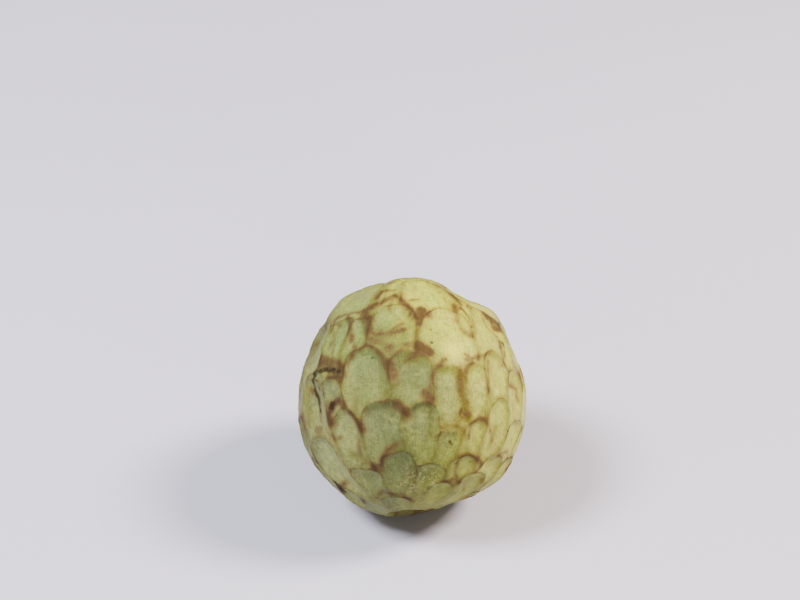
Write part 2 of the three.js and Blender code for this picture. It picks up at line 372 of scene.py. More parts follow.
def blown_up_cube(tree):
    """A ball of quads that are all much alike, with the direction of each point noted on it."""
    cube = Wire.add(tree, "GeometryNodeMeshCube", (), {
        "Size": (2, 2, 2), "Vertices X": SKIN_SIDE, "Vertices Y": SKIN_SIDE, "Vertices Z": SKIN_SIDE})
    corner = Wire.add(tree, "GeometryNodeInputPosition")
    bulged = vector_of(tree, *[(axis * (math.pi / 4)).math("TANGENT") for axis in corner.axes()])
    ball = store(tree, cube, "direction", bulged.vector_math("NORMALIZE"), "FLOAT_VECTOR")
    looked_up = wandering(tree, named(tree, "direction", "FLOAT_VECTOR"))
    return store(tree, ball, "looked_up", looked_up, "FLOAT_VECTOR")


def place_in_scale(tree, points, index):
    """How far out a point is in a scale, how far along it in half widths, and how far to its right."""
    direction = named(tree, "looked_up", "FLOAT_VECTOR")
    half_width, arch, tail_end = [
        of_scale(tree, points, index, name) for name in ("half_width", "arch", "tail_end")]
    tip, north, east = [
        of_scale(tree, points, index, name, "FLOAT_VECTOR") for name in ("position", "north", "east")]
    across = abs(direction.dot(east)) * PATTERN_RADIUS / half_width
    along = direction.dot(north) * PATTERN_RADIUS / half_width + 1
    above = (across ** arch + along.most(0) ** arch) ** (1 / arch)
    below = across / (1 - along * FLANK_FLARE)
    reached = (direction.dot(tip) > SAME_SIDE) * (along * half_width > tail_end)
    out = reached.choose((along > 0).choose(above, below), OUT_OF_REACH)
    return out, along, direction.dot(east) * PATTERN_RADIUS


def over_all_scales(tree, geometry, count, step):
    """Runs a step once for each scale, on the geometry that the step before left."""
    start = tree.nodes.new("GeometryNodeRepeatInput")
    end = tree.nodes.new("GeometryNodeRepeatOutput")
    start.pair_with_output(end)
    start.inputs["Iterations"].default_value = count
    geometry.feed(start, "Geometry")
    result = step(Wire(tree, start.outputs["Geometry"]), Wire(tree, start.outputs["Iteration"]))
    result.feed(end, "Geometry")
    return Wire(tree, end.outputs["Geometry"])


def find_shown_scales(tree, skin, points, count):
    """The scale that shows at a point is the one nearest the stem of those that the point lies in."""
    skin = store(tree, skin, "rank", NO_SCALE_YET)

    def compare(geometry, index):
        out, along, beside = place_in_scale(tree, points, index)
        found = {"shown": index, "out": out, "along": along, "beside": beside}
        for name in ("half_width", "whorl", "depth", "tone", "browning"):
            found[name] = of_scale(tree, points, index, name)
        found["rank"] = (out < 1).choose(found["whorl"] + out, out + len(WHORLS))
        geometry = store(tree, geometry, "better", found["rank"] < named(tree, "rank"))
        for name, value in found.items():
            geometry = store(tree, geometry, name, named(tree, "better").choose(value, named(tree, name)))
        return geometry

    return over_all_scales(tree, skin, count, compare)


def measure_edges(tree, skin, points, count):
    """Notes the distance from each point to the nearest rim, rounded off where rims meet."""
    loose = named(tree, "out") > 1
    own_rim = ((1 - named(tree, "out")) * named(tree, "half_width") * -CORNER_SHARPNESS).exp()
    skin = store(tree, skin, "crowd", loose.choose(0, own_rim))

    def add_rim(geometry, index):
        out, _, _ = place_in_scale(tree, points, index)
        half_width = of_scale(tree, points, index, "half_width")
        step_away = of_scale(tree, points, index, "whorl") - named(tree, "whorl")
        beside = loose.most(abs(step_away) < HALF_A_STEP)
        away_beside = (out - named(tree, "out")) * named(tree, "half_width") / 2
        away_over = (out - 1) * half_width
        away = beside.choose(away_beside, away_over).most(0)
        another = abs(named(tree, "shown") - index) > HALF_A_STEP
        counts = beside.most(step_away < 0) * another * (out < OUT_OF_REACH - 1)
        crowd = named(tree, "crowd") + counts * (away * -CORNER_SHARPNESS).exp()
        return store(tree, geometry, "crowd", crowd)

    skin = over_all_scales(tree, skin, count, add_rim)
    edge = (named(tree, "crowd").math("LOGARITHM", math.e) / -CORNER_SHARPNESS).most(0)
    return store(tree, skin, "edge", edge)


def body_radius(direction):
    """The rounded heart under the scales."""
    _, _, to_tip = direction.axes()
    across = (1 - to_tip * to_tip).most(0).math("SQRT")
    radius = GIRTH_RADIUS - to_tip * across * STEM_FULLNESS + to_tip * to_tip * END_REACH
    for lon, lat, height, spread in SWELLINGS:
        turned = direction.angle_to(lon, lat) / spread
        radius = radius + (turned * turned * -1).exp() * height
    return radius


def skin_radius(tree, direction, dish_depth, rim_height, rim_width):
    """The body with its dishes, rims and ripples, smooth near the flat spot, and the hollow."""
    edge = named(tree, "edge")
    half_width = named(tree, "half_width")
    size = (half_width / USUAL_HALF_WIDTH).most(SIZE_RANGE[0]).least(SIZE_RANGE[1])
    in_arch = named(tree, "along").smooth(*ARCH_BEGINS)
    wall = (edge / (half_width * in_arch.choose(ARCH_WALL, FLANK_WALL))).smooth()
    run = named(tree, "along").smooth(-TAIL_LENGTH, ARCH_LENGTH) * (1 - TAIL_DEPTH) + TAIL_DEPTH
    rim = ((edge / rim_width) * (edge / rim_width) * -1).exp() * rim_height * in_arch.choose(1, FLANK_RIM)
    slow, quick = [(noise(tree, direction, number, detail=3) - 0.5) * swing for swing, number in RIPPLES]
    dish = dish_depth * named(tree, "depth") * size * wall * run
    relief = rim - dish + (slow + quick) - RIPPLE_INSET
    away_from_rest = direction.angle_to(*REST_SPOT).smooth(*SMOOTH_NEAR_REST)
    outside = body_radius(direction) + relief * away_from_rest
    from_stem = direction.angle_to(*STEM)
    hollow = HOLLOW_FLOOR / (from_stem.least(HOLLOW_RIM) * (math.pi / 180)).math("COSINE")
    return from_stem.smooth(HOLLOW_FLOOR_EDGE, HOLLOW_RIM).choose(outside, hollow)


def skin_tree(scale_count):
    tree = bpy.data.node_groups.new("scaly skin", "GeometryNodeTree")
    tree.interface.new_socket(name="Scales", in_out="INPUT", socket_type="NodeSocketGeometry")
    sizes = {"Dish depth": DISH_DEPTH, "Rim height": RIM_HEIGHT, "Rim width": RIM_WIDTH}
    for name, value in sizes.items():
        socket = tree.interface.new_socket(name=name, in_out="INPUT", socket_type="NodeSocketFloat")
        socket.default_value = value
    tree.interface.new_socket(name="Skin", in_out="OUTPUT", socket_type="NodeSocketGeometry")
    points = Wire.add(tree, "NodeGroupInput", output="Scales")
    skin = blown_up_cube(tree)
    skin = find_shown_scales(tree, skin, points, scale_count)
    skin = measure_edges(tree, skin, points, scale_count)

    # Laid over, set on the table and pressed flat where it touches.
    direction = named(tree, "direction", "FLOAT_VECTOR")
    radius = skin_radius(tree, direction, *[Wire.add(tree, "NodeGroupInput", output=name) for name in sizes])
    laid = Wire.add(tree, "ShaderNodeVectorRotate", {"rotation_type": "X_AXIS"}, {
        "Vector": direction.scaled(radius), "Angle": -math.radians(AXIS_TILT)})
    x, y, z = laid.vector_math("ADD", MIDDLE).axes()
    place = vector_of(tree, x, y, z.most(0)).scaled(MM)
    skin = Wire.add(tree, "GeometryNodeSetPosition", (), {"Geometry": skin, "Position": place})
    for name in ("looked_up", "rank", "better", "crowd", "out", "whorl"):
        skin = Wire.add(tree, "GeometryNodeRemoveAttribute", (), {"Geometry": skin, "Name": name})
    skin = Wire.add(tree, "GeometryNodeRealizeInstances", (), {"Geometry": skin})
    skin = Wire.add(tree, "GeometryNodeSetShadeSmooth", (), {"Geometry": skin})
    skin = Wire.add(tree, "GeometryNodeSetMaterial", (), {"Geometry": skin, "Material": skin_material})
    skin.feed(tree.nodes.new("NodeGroupOutput"), "Skin")
    return tree


def grow_skin():
    """Grows the skin from its scales and keeps it as a plain mesh."""
    scales = lay_out_scales()
    grower = scale_points(scales)
    modifier = grower.modifiers.new("skin", "NODES")
    modifier.node_group = skin_tree(len(scales))
    evaluated = grower.evaluated_get(bpy.context.evaluated_depsgraph_get())
    mesh = bpy.data.meshes.new_from_object(evaluated)
    bpy.data.objects.remove(grower)
    mesh.name = "fruit skin"
    return put_in_scene("fruit_skin", mesh)


skin_material = bpy.data.materials.new("waxy green skin")
skin_material.use_nodes = True
fruit_skin = grow_skin()
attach(fruit_skin, "root")
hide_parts("fruit")


# Where the fruit was rubbed or its rims have dried. A mark is (half width, strength, line of places).
RUSSET_MARKS = [
    (1.0, 0.9, [(-59, 37), (-45, 39), (-35, 39), (-23, 44), (-15, 51)]),
    (1.2, 1.15, [(-15, 51), (-2, 39), (4, 33)]),
    (1.5, 0.9, [(-33, 38), (-23, 43), (-16, 49)]),
    (2.0, 0.95, [(0, 35), (9, 35)]),
    (1.9, 0.95, [(-33, 38), (-27, 32), (-25, 26)]),
    (2.6, 1.2, [(3, 33), (5, 37)]),
    (1.6, 0.9, [(4, 33), (4, 28)]),
    (0.6, 0.8, [(-3, 46), (4, 47)]),
    (0.8, 0.8, [(-17, 57), (-27, 55), (-28, 48)]),
    (0.7, 0.8, [(-15, 50), (-15, 39)]),
    (1.8, 0.75, [(-22, 19), (-15, 17)]),
    (0.9, 0.7, [(-19, 21), (-13, 25), (-6, 30)]),
    (1.0, 0.8, [(-4, 7), (1, 11), (6, 14)]),
    (0.8, 0.7, [(-59, 36), (-51, 27), (-46, 19), (-46, 13)]),
    (0.8, 0.8, [(-35, 23), (-30, 14), (-33, 8)]),
    (1.8, 0.85, [(-32, 34), (-25, 25), (-22, 19)]),
    (0.7, 1.0, [(-28, 14), (-24, 17), (-18, 13), (-14, 8), (-11, 3)]),
    (2.6, 0.9, [(-12, 6), (-10, 1)]),
    (1.2, 0.7, [(-10, 1), (-7, -3)]),
    (1.2, 0.6, [(-11, 8), (-4, 15), (4, 16)]),
    (2.5, 0.45, [(-2, 7), (2, 10)]),
    (2.2, 1.3, [(3, 15), (8, 12)]),
    (1.0, 1.05, [(-46, 38), (-37, 27), (-34, 20)]),
    (1.0, 0.9, [(-57, 38), (-55, 32)]),
    (1.1, 0.9, [(-37, 27), (-37, 26)]),
    (1.0, 0.85, [(-30, 14), (-33, 9), (-36, 5), (-37, -1)]),
    (3.2, 1.0, [(-53, 11), (-40, 6)]),
    (1.8, 1.0, [(-45, 3), (-39, 2)]),
    (2.2, 1.0, [(-37, 5), (-37, 2)]),
    (1.6, 0.7, [(-63, -2), (-58, -4)]),
    (0.9, 0.9, [(-57, -5), (-53, -11), (-55, -18)]),
    (1.6, 0.8, [(-61, -22), (-56, -23)]),
    (0.7, 0.6, [(-56, -23), (-53, -26)]),
    (0.8, 0.6, [(-53, -19), (-50, -25), (-45, -28), (-42, -28)]),
    (1.3, 1.3, [(-39, -10), (-43, -12), (-46, -16), (-46, -20)]),
    (1.6, 0.9, [(-38, -11), (-35, -13)]),
    (1.2, 1.0, [(-33, -16), (-29, -21), (-27, -25)]),
    (1.0, 0.75, [(-31, -33), (-32, -37)]),
    (0.6, 0.9, [(-15, -12), (-12, -12)]),
    (1.7, 1.0, [(-8, -14), (-3, -18)]),
    (0.8, 0.5, [(-24, -16), (-23, -15)]),
    (1.0, 0.95, [(-9, -33), (-15, -36), (-20, -42)]),
    (1.8, 1.0, [(-25, -44), (-22, -44)]),
    (0.6, 0.7, [(-33, -42), (-28, -42)]),
    (1.0, 0.8, [(-59, -51), (-70, -52), (-80, -54)]),
    (1.1, 0.9, [(-64, -63), (-74, -66)]),
    (0.7, 0.9, [(-40, -64), (-29, -60), (-18, -62), (-10, -62), (-4, -67)]),
    (0.5, 0.7, [(-1, -45), (-2, -51), (-4, -57)]),
    (0.9, 0.8, [(25, -53), (33, -51), (43, -53)]),
    (0.7, 0.7, [(47, -54), (56, -59)]),
    (0.7, 0.85, [(35, -51), (30, -46), (30, -38), (33, -36), (45, -39), (50, -42)]),
    (1.2, 0.6, [(62, -49), (70, -51)]),
    (0.6, 0.7, [(46, -49), (47, -46)]),
    (0.7, 0.8, [(57, -38), (62, -33), (72, -32), (75, -36)]),
    (0.6, 0.75, [(32, -29), (31, -22), (36, -18), (43, -21), (49, -29)]),
    (0.9, 0.7, [(35, -19), (40, -19)]),
    (0.6, 0.5, [(15, -24), (22, -23), (28, -25), (32, -32)]),
    (0.6, 0.6, [(61, -9), (63, -16)]),
    (1.4, 0.7, [(25, -16), (29, -17)]),
    (1.2, 0.4, [(2, 24), (1, 17)]),
    (0.8, 0.8, [(29, 43), (27, 34), (30, 24)]),
    (1.4, 0.7, [(30, 25), (32, 23)]),
    (1.0, 0.6, [(42, 44), (44, 39)]),
    (3.4, 1.0, [(60, 42), (64, 37), (64, 34)]),
    (0.6, 0.8, [(55, 43), (53, 32), (59, 27)]),
    (0.8, 1.0, [(59, 24), (52, 9)]),
    (1.0, 0.7, [(16, 9), (13, 5)]),
    (0.8, 0.75, [(13, 5), (9, -1), (8, -7)]),
    (1.8, 0.95, [(6, -8), (8, -11)]),
    (1.6, 0.7, [(28, 12), (28, 10)]),
    (0.9, 0.75, [(31, 9), (27, 3)]),
    (0.8, 0.8, [(31, 10), (37, 12), (44, 15)]),
    (0.6, 0.6, [(42, 13), (39, -3)]),
    (0.6, 0.8, [(42, 11), (40, 3), (40, -5)]),
    (0.9, 0.8, [(56, 1), (66, -1), (66, -6)]),
    (0.7, 0.9, [(66, 11), (71, 2), (73, -6)]),
    (1.3, 0.75, [(61, 1), (64, 0)]),
    (0.9, 0.8, [(80, 19), (78, 5)]),
    (0.9, 0.8, [(66, 77), (35, 55), (36, 45)]),
    (0.7, 0.7, [(-84, -18), (-76, -30), (-77, -36)]),
]
BLACK_MARKS = [
    (1.3, 1.0, [(-38, 4), (-43, 5), (-50, 6), (-57, 6), (-58, 1)]),
    (1.1, 1.0, [(-58, 2), (-59, -2), (-56, -7), (-54, -14)]),
    (1.0, 1.0, [(-53, -2), (-53, -3)]),
    (0.9, 1.0, [(-58, -2), (-58, -3)]),
    (1.0, 1.0, [(-43, -11), (-44, -13)]),
    (3.0, 1.0, [(-76, -51), (-82, -54)]),
    (0.45, 0.9, [(62, 24), (58, 16), (54, 9)]),
    (0.4, 0.8, [(-34, -43), (-29, -42)]),
    (1.0, 0.6, [(-64, -63), (-67, -64)]),
    (0.55, 1.0, [(10, 26), (10, 26)]),
    (0.65, 1.0, [(10, 18), (10, 18)]),
    (0.6, 0.9, [(-21, 10), (-20, 10)]),
    (0.6, 0.8, [(-6, -10), (-6, -10)]),
    (0.45, 0.8, [(22, -26), (22, -29)]),
    (0.7, 0.95, [(21, -31), (23, -33)]),
    (0.8, 0.7, [(-15, 50), (-13, 48)]),
    (1.0, 0.6, [(4, 13), (6, 12)]),
    (0.8, 0.7, [(-24, -44), (-21, -43)]),
    (0.9, 0.5, [(-4, -17), (-3, -18)]),
]
HAZES_AND_SHADE = [  # faint brown areas, and painted shade along the left edge: radius, strength, line of places
    (3.8, 0.9, [(-30, 37), (-24, 30), (-21, 23)]),
    (3.0, 0.9, [(-21, 22), (-14, 23), (-6, 25)]),
    (3.5, 0.95, [(-19, 16), (-9, 16), (-1, 15)]),
    (3.0, 0.7, [(-11, 11), (-8, 4)]),
    (3.2, 0.8, [(-2, 8), (4, 13)]),
    (2.4, 0.6, [(-24, 44), (-14, 47), (-4, 42)]),
    (2.6, 0.6, [(-41, 30), (-36, 18), (-38, 12)]),
    (3.0, 0.65, [(-50, 34), (-49, 16)]),
    (3.2, 0.7, [(-54, 9), (-42, 8)]),
    (2.5, 0.4, [(-53, -3), (-52, -16)]),
    (2.4, 0.75, [(23, 3), (24, -7), (27, -13), (26, -18)]),
    (2.0, 0.5, [(13, 7), (9, 0), (8, -6)]),
    (1.8, 0.45, [(35, -19), (30, -24), (30, -32), (34, -35)]),
    (1.8, 0.4, [(45, -25), (52, -30), (58, -36)]),
    (1.8, 0.5, [(30, -44), (28, -52), (36, -51), (52, -52)]),
    (2.2, 0.5, [(-30, -30), (-32, -37), (-25, -43), (-16, -37)]),
    (2.0, 0.45, [(-58, -24), (-46, -29)]),
    (2.6, 0.5, [(-76, -50), (-66, -60)]),
    (2.0, 0.4, [(60, 30), (54, 14), (56, 4)]),
    (2.2, 0.4, [(34, 12), (24, 6)]),
    (2.6, 0.5, [(60, 40), (72, 38), (80, 24)]),
    # Painted shade: the left edge darker and browner.
    (6.0, 0.7, [(-74, -20), (-78, 0), (-75, 22), (-68, 36)]),
    (2.4, 0.6, [(-17, 47), (-9, 46), (-2, 42)]),
    (2.6, 0.4, [(-5, 37), (0, 30)]),
]
OLIVES_AND_SHADE = [  # the same for bare olive skin between the scales, and painted shade along the left edge
    (2.4, 0.95, [(24, 1), (24, -7), (27, -13), (29, -19)]),
    (1.8, 0.4, [(14, -21), (19, -24), (24, -22)]),
    (2.2, 0.5, [(-13, -9), (-10, -6)]),
    (1.8, 0.5, [(-29, -11), (-29, -30)]),
    (2.2, 0.5, [(-38, -37), (-30, -40)]),
    (1.6, 0.5, [(9, -14), (10, -28)]),
    (1.6, 0.5, [(49, -22), (49, -32)]),
    (4.0, 0.45, [(-67, 0), (-65, -16)]),
    # Painted shade: the left edge darker and more olive.
    (7.0, 0.5, [(-82, -24), (-88, 0), (-84, 22)]),
]
MARK_FEATHER = 1.8  # how far past its half width a mark is felt
MARK_FADE = 1.5 * MARK_FEATHER  # and how wide the fade of its edge is
MARK_HALO = 4.0  # how far past it the faint halo is felt
HALO_SHARE = 0.45
DOT_RUN = 1e-6  # stands in for the length of a line that is only a dot


def distance_to_line(places, line):
    """Millimetres from each place to a line of stops on the skin."""
    stops = [np.array(direction_at(*stop)) * PATTERN_RADIUS for stop in line]
    nearest = np.full(len(places), np.inf)
    for start, end in zip(stops, stops[1:]):
        run = end - start
        share = np.clip((places - start) @ run / max(run @ run, DOT_RUN), 0, 1)
        nearest = np.minimum(nearest, np.linalg.norm(places - start - share[:, None] * run, axis=1))
    return nearest


def mark_skin(skin):
    """Notes how strongly each point of the skin is marked."""
    mesh = skin.data
    directions = np.empty(len(mesh.vertices) * 3, np.float32)
    mesh.attributes["direction"].data.foreach_get("vector", directions)
    places = directions.reshape(-1, 3) * PATTERN_RADIUS
    for name, marks in (("russet", RUSSET_MARKS), ("black", BLACK_MARKS)):
        marked = np.zeros(len(places))
        for half_width, strength, line in marks:
            away = distance_to_line(places, line)
            fade = np.clip((half_width + MARK_FEATHER - away) / MARK_FADE, 0, 1)
            halo = HALO_SHARE * np.clip(1 - (away - half_width) / MARK_HALO, 0, 1)
            marked = np.maximum(marked, np.maximum(fade, halo) * strength)
        note(mesh, name, marked)
    for name, areas in (("haze_and_shade", HAZES_AND_SHADE), ("olive_and_shade", OLIVES_AND_SHADE)):
        clear = np.ones(len(places))
        for radius, strength, line in areas:
            clear = clear * (1 - strength * np.exp(-((distance_to_line(places, line) / radius) ** 2)))
        note(mesh, name, 1 - clear)


mark_skin(fruit_skin)


# The colours of a scale from its arch down to its tail, the grey green at the arch being partly painted
# shade, then of what lies over them.
ARCH_GREY_AND_SHADE = (0.114, 0.129, 0.050)
MIDDLE_GREEN = (0.152, 0.165, 0.047)
TAIL_YELLOW = (0.192, 0.205, 0.046)
RIPE_AND_LIT_YELLOW = (0.355, 0.375, 0.034)
RIPE_AND_LIT_PALE = (0.330, 0.353, 0.053)
PAINTED_HIGHLIGHT_PALE = (0.620, 0.560, 0.060)
YOUNG_GREEN = (0.165, 0.250, 0.062)
DUSTY_GREEN = (0.210, 0.235, 0.085)
STEM_OLIVE = (0.090, 0.080, 0.025)
PALE_SPECK = (0.420, 0.400, 0.180)
RUSSET_BROWN = (0.074, 0.041, 0.019)
BLACK_ROT = (0.020, 0.011, 0.008)
OLIVE_STAIN_AND_SHADE = (0.56, 0.47, 0.31)  # a stain, or the painted shade below, is what it leaves of the colour under it
TAN_STAIN_AND_SHADE = (0.76, 0.59, 0.58)
RUSSET_STAIN = (0.50, 0.36, 0.45)
PAINTED_SHADE_TINT = (0.78, 0.82, 0.72)

# Where the skin has another colour, as (longitude, latitude, colour, strength) or a place alone: partly its
# own colour, partly painted light and painted shade.
# Riper and lighter on the side the main light falls on: partly the skin's own riper colour, partly painted
# light.
RIPE_AND_LIT_SIDES = [
    (38, 44, RIPE_AND_LIT_YELLOW, 0.85), (56, -6, RIPE_AND_LIT_PALE, 0.55), (70, -44, RIPE_AND_LIT_PALE, 0.55),
    (88, -2, RIPE_AND_LIT_PALE, 0.75),
]
FRESH_SIDES = [(-40, 26, YOUNG_GREEN, 0.5), (-44, -37, DUSTY_GREEN, 0.45)]
# Painted shade: the front of the fruit darker and greener, where the lamps fall less.
PAINTED_SHADE_SIDES = [(-8, 8), (2, -51)]
FROSTED = (5, -53)  # a patch of pale dry flecks
PAINTED_HIGHLIGHT_SPOT = (21, 14)  # a painted highlight: a pale patch where the main light's gloss falls
RIPE_AND_LIT_REACH = (0.55, 1)  # cosines of the angles at which a side begins and is at its full strength
FRESH_REACH = (0.85, 1)
PAINTED_SHADE_REACH = (0.82, 0.98)
FROST_REACH = (6, 13)  # degrees in which a patch thins out
PAINTED_HIGHLIGHT_REACH = (1, 9)
SCAR_REACH = (2, 6)  # the same for the brown scar of the flower at the tip
STEM_REACH = (HOLLOW_FLOOR_EDGE, HOLLOW_RIM + 2)
FROST_STRENGTH = 0.35
PAINTED_HIGHLIGHT_STRENGTH = 0.55
STEM_STRENGTH = 0.85

# Sizes in millimetres of the unevenness of the skin, from its broadest patches to its grain.
BROAD_PATCH = 22
PATCH = 6
MOTTLE = 2.2
GRAIN = 0.8
GRAIN_ROUGHNESS = 0.65
STREAK_WIDTH = 0.45
STREAK_LENGTH = 5
STREAK_SHIFT = 90  # gives each scale streaks of its own
NOISE_SWING = 3  # brings noise about zero to a swing of about one

# How much each of them lightens and darkens the skin.
PATCH_SHADE = 0.12
MOTTLE_SHADE = 0.24
GRAIN_SHADE = 0.42
STREAK_SHADE = 0.24

# Where along a scale its colours change, in half widths down from about the shoulders of its arch.
COLOUR_START = 0.4
TO_GREEN = (-0.9, 1.2)
TO_YELLOW = (0.6, 3.0)
TONE_SHIFT = 0.8  # how far a scale's own tone moves them
TIP_SHIFT = 0.8  # and how far its place between stem and tip does
TIP_YELLOWING = (-0.9, 0.2)
BROWNEST = (-0.7, 0.5)  # the rim browns from here to here, in half widths up from the shoulders

# How far from a rim its crest, olive flank and rubbed stain reach, in millimetres.
CREST_REACH = (0.1, 0.8)
FLANK_REACH = (-0.2, 2.4)
RUBBED_REACH = (0.3, 3.2)

# How strong a mark begins to show in a colour, and from where it shows in full.
TO_TAN = (0.05, 0.7)
TO_RUSSET = (0.4, 1.0)
TO_DARK = (0.75, 1.4)
TO_BLACK = (0.45, 0.95)
HAZE_BROWN = 0.82  # how brown the strongest haze, and the painted shade with it, is as a mark

# Spacing and greatest radius of dots, and the share of their places that have one.
PALE_DOTS = (1.2, 0.24, 0.25)
PORES = (2.6, 0.32, 0.4)
DOT_EDGE = (0.5, 1)  # of its radius

SKIN_ROUGHNESS = 0.5  # waxy, but dulled by its bloom
SKIN_GLOSS = 0.18
GLOSS_TINT = (1, 0.95, 0.45, 1)
SKIN_BUMP = 0.35 * MM


def colour_mix(share, under, over):
    """Blends two colours: share is how much of the second shows."""
    under, over = [(*colour, 1) if isinstance(colour, tuple) else colour for colour in (under, over)]
    sockets = {0: share, MIX_COLOURS[0]: under, MIX_COLOURS[1]: over}
    return Wire.add(share.tree, "ShaderNodeMix", {"data_type": "RGBA"}, sockets, MIXED_COLOUR)


def stained_or_shaded(share, colour, stain):
    """A stain or painted shade that lets part of each colour through, where share is 1."""
    return colour_mix(share, colour, colour.vector_math("MULTIPLY", stain))


def of_skin(tree, name, output="Fac"):
    """What was noted on the skin under a name."""
    return Wire.add(tree, "ShaderNodeAttribute", {"attribute_name": name}, (), output)


def uneven(tree, at, size, detail=3, roughness=0.5):
    """Noise about zero, with spots of a given size."""
    return (noise(tree, at, 1 / size, detail, roughness) - 0.5) * NOISE_SWING


def dots(tree, at, spacing, size, share):
    """Small round dots strewn over the skin, one at most in each cell of a given spacing."""
    sockets = {"Vector": at, "Scale": 1 / spacing}
    distance = Wire.add(tree, "ShaderNodeTexVoronoi", (), sockets)
    chance = Wire.add(tree, "ShaderNodeTexVoronoi", (), sockets, "Color").axes()[0]
    reach = chance * size / spacing
    return (1 - (distance / reach).smooth(*DOT_EDGE)) * (chance > 1 - share)


def ripeness(facing, lon, lat, strength):
    return facing.towards(lon, lat).smooth(*RIPE_AND_LIT_REACH) * strength


def feel_of_skin(tree):
    """What the colours and the bumps of the skin follow."""
    at = Wire.add(tree, "ShaderNodeTexCoord", (), (), "Object").scaled(1 / MM)
    skin = SimpleNamespace(tree=tree, at=at, facing=of_skin(tree, "direction", "Vector"))
    skin.broad = uneven(tree, at, BROAD_PATCH, detail=2)
    skin.patchy = uneven(tree, at, PATCH)
    skin.mottle = uneven(tree, at, MOTTLE)
    skin.grain = uneven(tree, at, GRAIN, roughness=GRAIN_ROUGHNESS)
    skin.along = of_skin(tree, "along")
    skin.tone = of_skin(tree, "tone")
    across = of_skin(tree, "beside") / STREAK_WIDTH
    down = skin.along * of_skin(tree, "half_width") / STREAK_LENGTH
    skin.streaks = uneven(tree, vector_of(tree, across, down, skin.tone * STREAK_SHIFT), 1, detail=2)
    skin.edge = of_skin(tree, "edge") + skin.patchy * 0.3 + skin.mottle * 0.2
    skin.crest = 1 - abs(skin.edge).smooth(*CREST_REACH)
    skin.ragged = skin.patchy * 0.35 + skin.mottle * 0.4 + skin.grain * 0.25
    skin.shade = (skin.grain * GRAIN_SHADE + skin.mottle * MOTTLE_SHADE + skin.patchy * PATCH_SHADE
                  + skin.streaks * STREAK_SHADE + 1)
    # The riper sides, which are partly painted light.
    skin.ripe = 0
    for lon, lat, _, strength in RIPE_AND_LIT_SIDES:
        skin.ripe = ripeness(skin.facing, lon, lat, strength) + skin.ripe
    return skin


def scale_colour(skin):
    """Each scale is grey green at its arch, partly painted shade, and yellow green towards its tail; riper
    and lighter on the lit side, partly painted light; with a painted highlight, and painted shade on the
    front.
    """
    to_tip = skin.facing.axes()[2]
    up = skin.along + skin.patchy * 0.3 + skin.tone * TONE_SHIFT - to_tip * TIP_SHIFT - COLOUR_START
    down = up * -1
    yellowing = to_tip.smooth(*TIP_YELLOWING) * 0.55 + 0.35
    # The grey green at the arch is partly painted shade under the rim.
    colour = colour_mix(down.smooth(*TO_GREEN), ARCH_GREY_AND_SHADE, MIDDLE_GREEN)
    colour = colour_mix(down.smooth(*TO_YELLOW) * yellowing, colour, TAIL_YELLOW)
    # Riper colour on the side the main light falls on, partly painted light.
    for lon, lat, ripe_colour, strength in RIPE_AND_LIT_SIDES:
        share = ripeness(skin.facing, lon, lat, strength) + skin.broad * 0.12 + skin.mottle * 0.06
        colour = colour_mix(share.most(0).least(1), colour, ripe_colour)
    for lon, lat, fresh_colour, strength in FRESH_SIDES:
        fresh = skin.facing.towards(lon, lat).smooth(*FRESH_REACH)
        colour = colour_mix(fresh * strength, colour, fresh_colour)
    # A painted highlight: a pale patch where the main light's gloss falls.
    painted_highlight = 1 - (skin.facing.angle_to(*PAINTED_HIGHLIGHT_SPOT) + skin.patchy * 3 + skin.mottle * 2).smooth(*PAINTED_HIGHLIGHT_REACH)
    colour = colour_mix(painted_highlight * PAINTED_HIGHLIGHT_STRENGTH, colour, PAINTED_HIGHLIGHT_PALE)
    # Painted shade on the front, where the lamps fall less.
    for side in PAINTED_SHADE_SIDES:
        colour = stained_or_shaded(skin.facing.towards(*side).smooth(*PAINTED_SHADE_REACH), colour, PAINTED_SHADE_TINT)
    return colour.scaled(skin.shade)


def olive_stains_and_shade(skin, colour):
    """Olive stains beside the rims and on the bare skin between some scales, and painted shade along the left
    edge.
    """
    depth = skin.patchy * 0.5 + skin.broad * 0.4 + skin.ripe.least(0.8) * 0.3 + 0.55
    flank = (1 - skin.edge.smooth(*FLANK_REACH)) * depth.most(0.1).least(1)
    olive_and_shade = of_skin(skin.tree, "olive_and_shade") * (skin.patchy * 0.3 + 1)
    colour = stained_or_shaded(flank.most(olive_and_shade).least(1), colour, OLIVE_STAIN_AND_SHADE)
    return stained_or_shaded((olive_and_shade * 0.6).least(1), colour, OLIVE_STAIN_AND_SHADE)


def brownness(skin):
    """Dried lines along the arches, a stain beside them where they are driest, and the ragged marks."""
    arched = skin.along.smooth(*BROWNEST) * 0.8 + 0.2
    browning = of_skin(skin.tree, "browning")
    dried = skin.crest * arched * browning * skin.patchy.smooth(-0.6, 0.4)
    in_patches = (skin.broad + skin.patchy * 0.5).smooth(-0.2, 0.8)
    rubbed = (1 - skin.edge.smooth(*RUBBED_REACH)) * arched * browning.smooth(0.3, 1.0) * in_patches
    marked = of_skin(skin.tree, "russet").most(rubbed).most(dried)
    return marked + (skin.ragged + skin.crest * 0.35) * marked.smooth(0, 0.5)


def finish_ends(skin, colour):
    """Pale dry flecks in one place, the scar of the flower at the tip, and the hollow at the stem."""
    flecks = (skin.mottle + skin.grain).smooth(0.1, 0.5)
    frost = (1 - (skin.facing.angle_to(*FROSTED) + skin.patchy * 3).smooth(*FROST_REACH)) * flecks
    colour = colour_mix(frost * FROST_STRENGTH, colour, PALE_SPECK)
    scar = 1 - (skin.facing.angle_to(*TIP) + skin.patchy * 2).smooth(*SCAR_REACH)
    colour = stained_or_shaded(scar, colour, RUSSET_STAIN)
    near_stem = 1 - skin.facing.angle_to(*STEM).smooth(*STEM_REACH)
    return colour_mix(near_stem * STEM_STRENGTH, colour, STEM_OLIVE)


